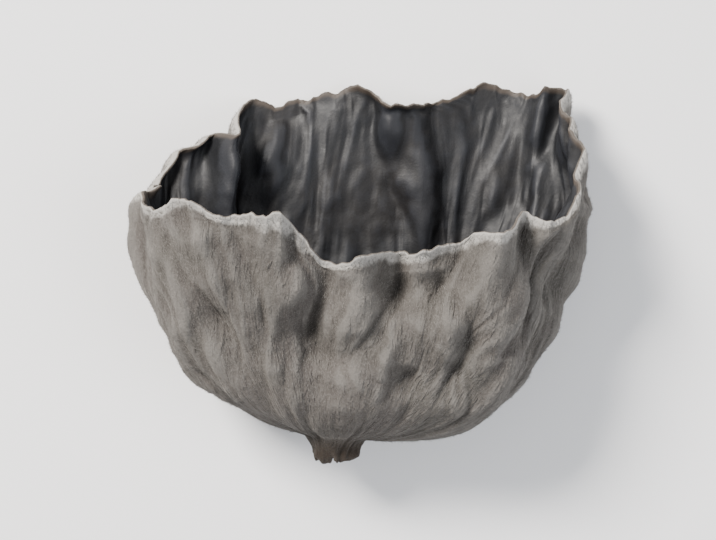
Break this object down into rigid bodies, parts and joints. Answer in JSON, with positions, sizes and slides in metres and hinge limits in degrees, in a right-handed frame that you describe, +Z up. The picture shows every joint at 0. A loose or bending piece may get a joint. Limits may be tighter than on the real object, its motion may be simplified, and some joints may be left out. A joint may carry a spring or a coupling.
{
  "type": "dried wood ear mushroom",
  "caption": "Dried cup-shaped mushroom fruit body with a thin crumpled wall, a rolled uneven margin and a short torn stub, lying on its side with its mouth open.",
  "frame": {"origin": "on the surface the ear rests on, under the middle of its box", "axes": "+X along its greatest width, +Y from the stub towards the mouth, +Z up from the surface it rests on"},
  "size_m": [0.0338, 0.028, 0.0144],
  "materials": {
    "dried_skin": "dry and velvety grey-brown outside, smoother and nearly black inside"
  },
  "bodies": {
    "root": {"wood_ear": "dried_skin"}
  },
  "joints": []
}
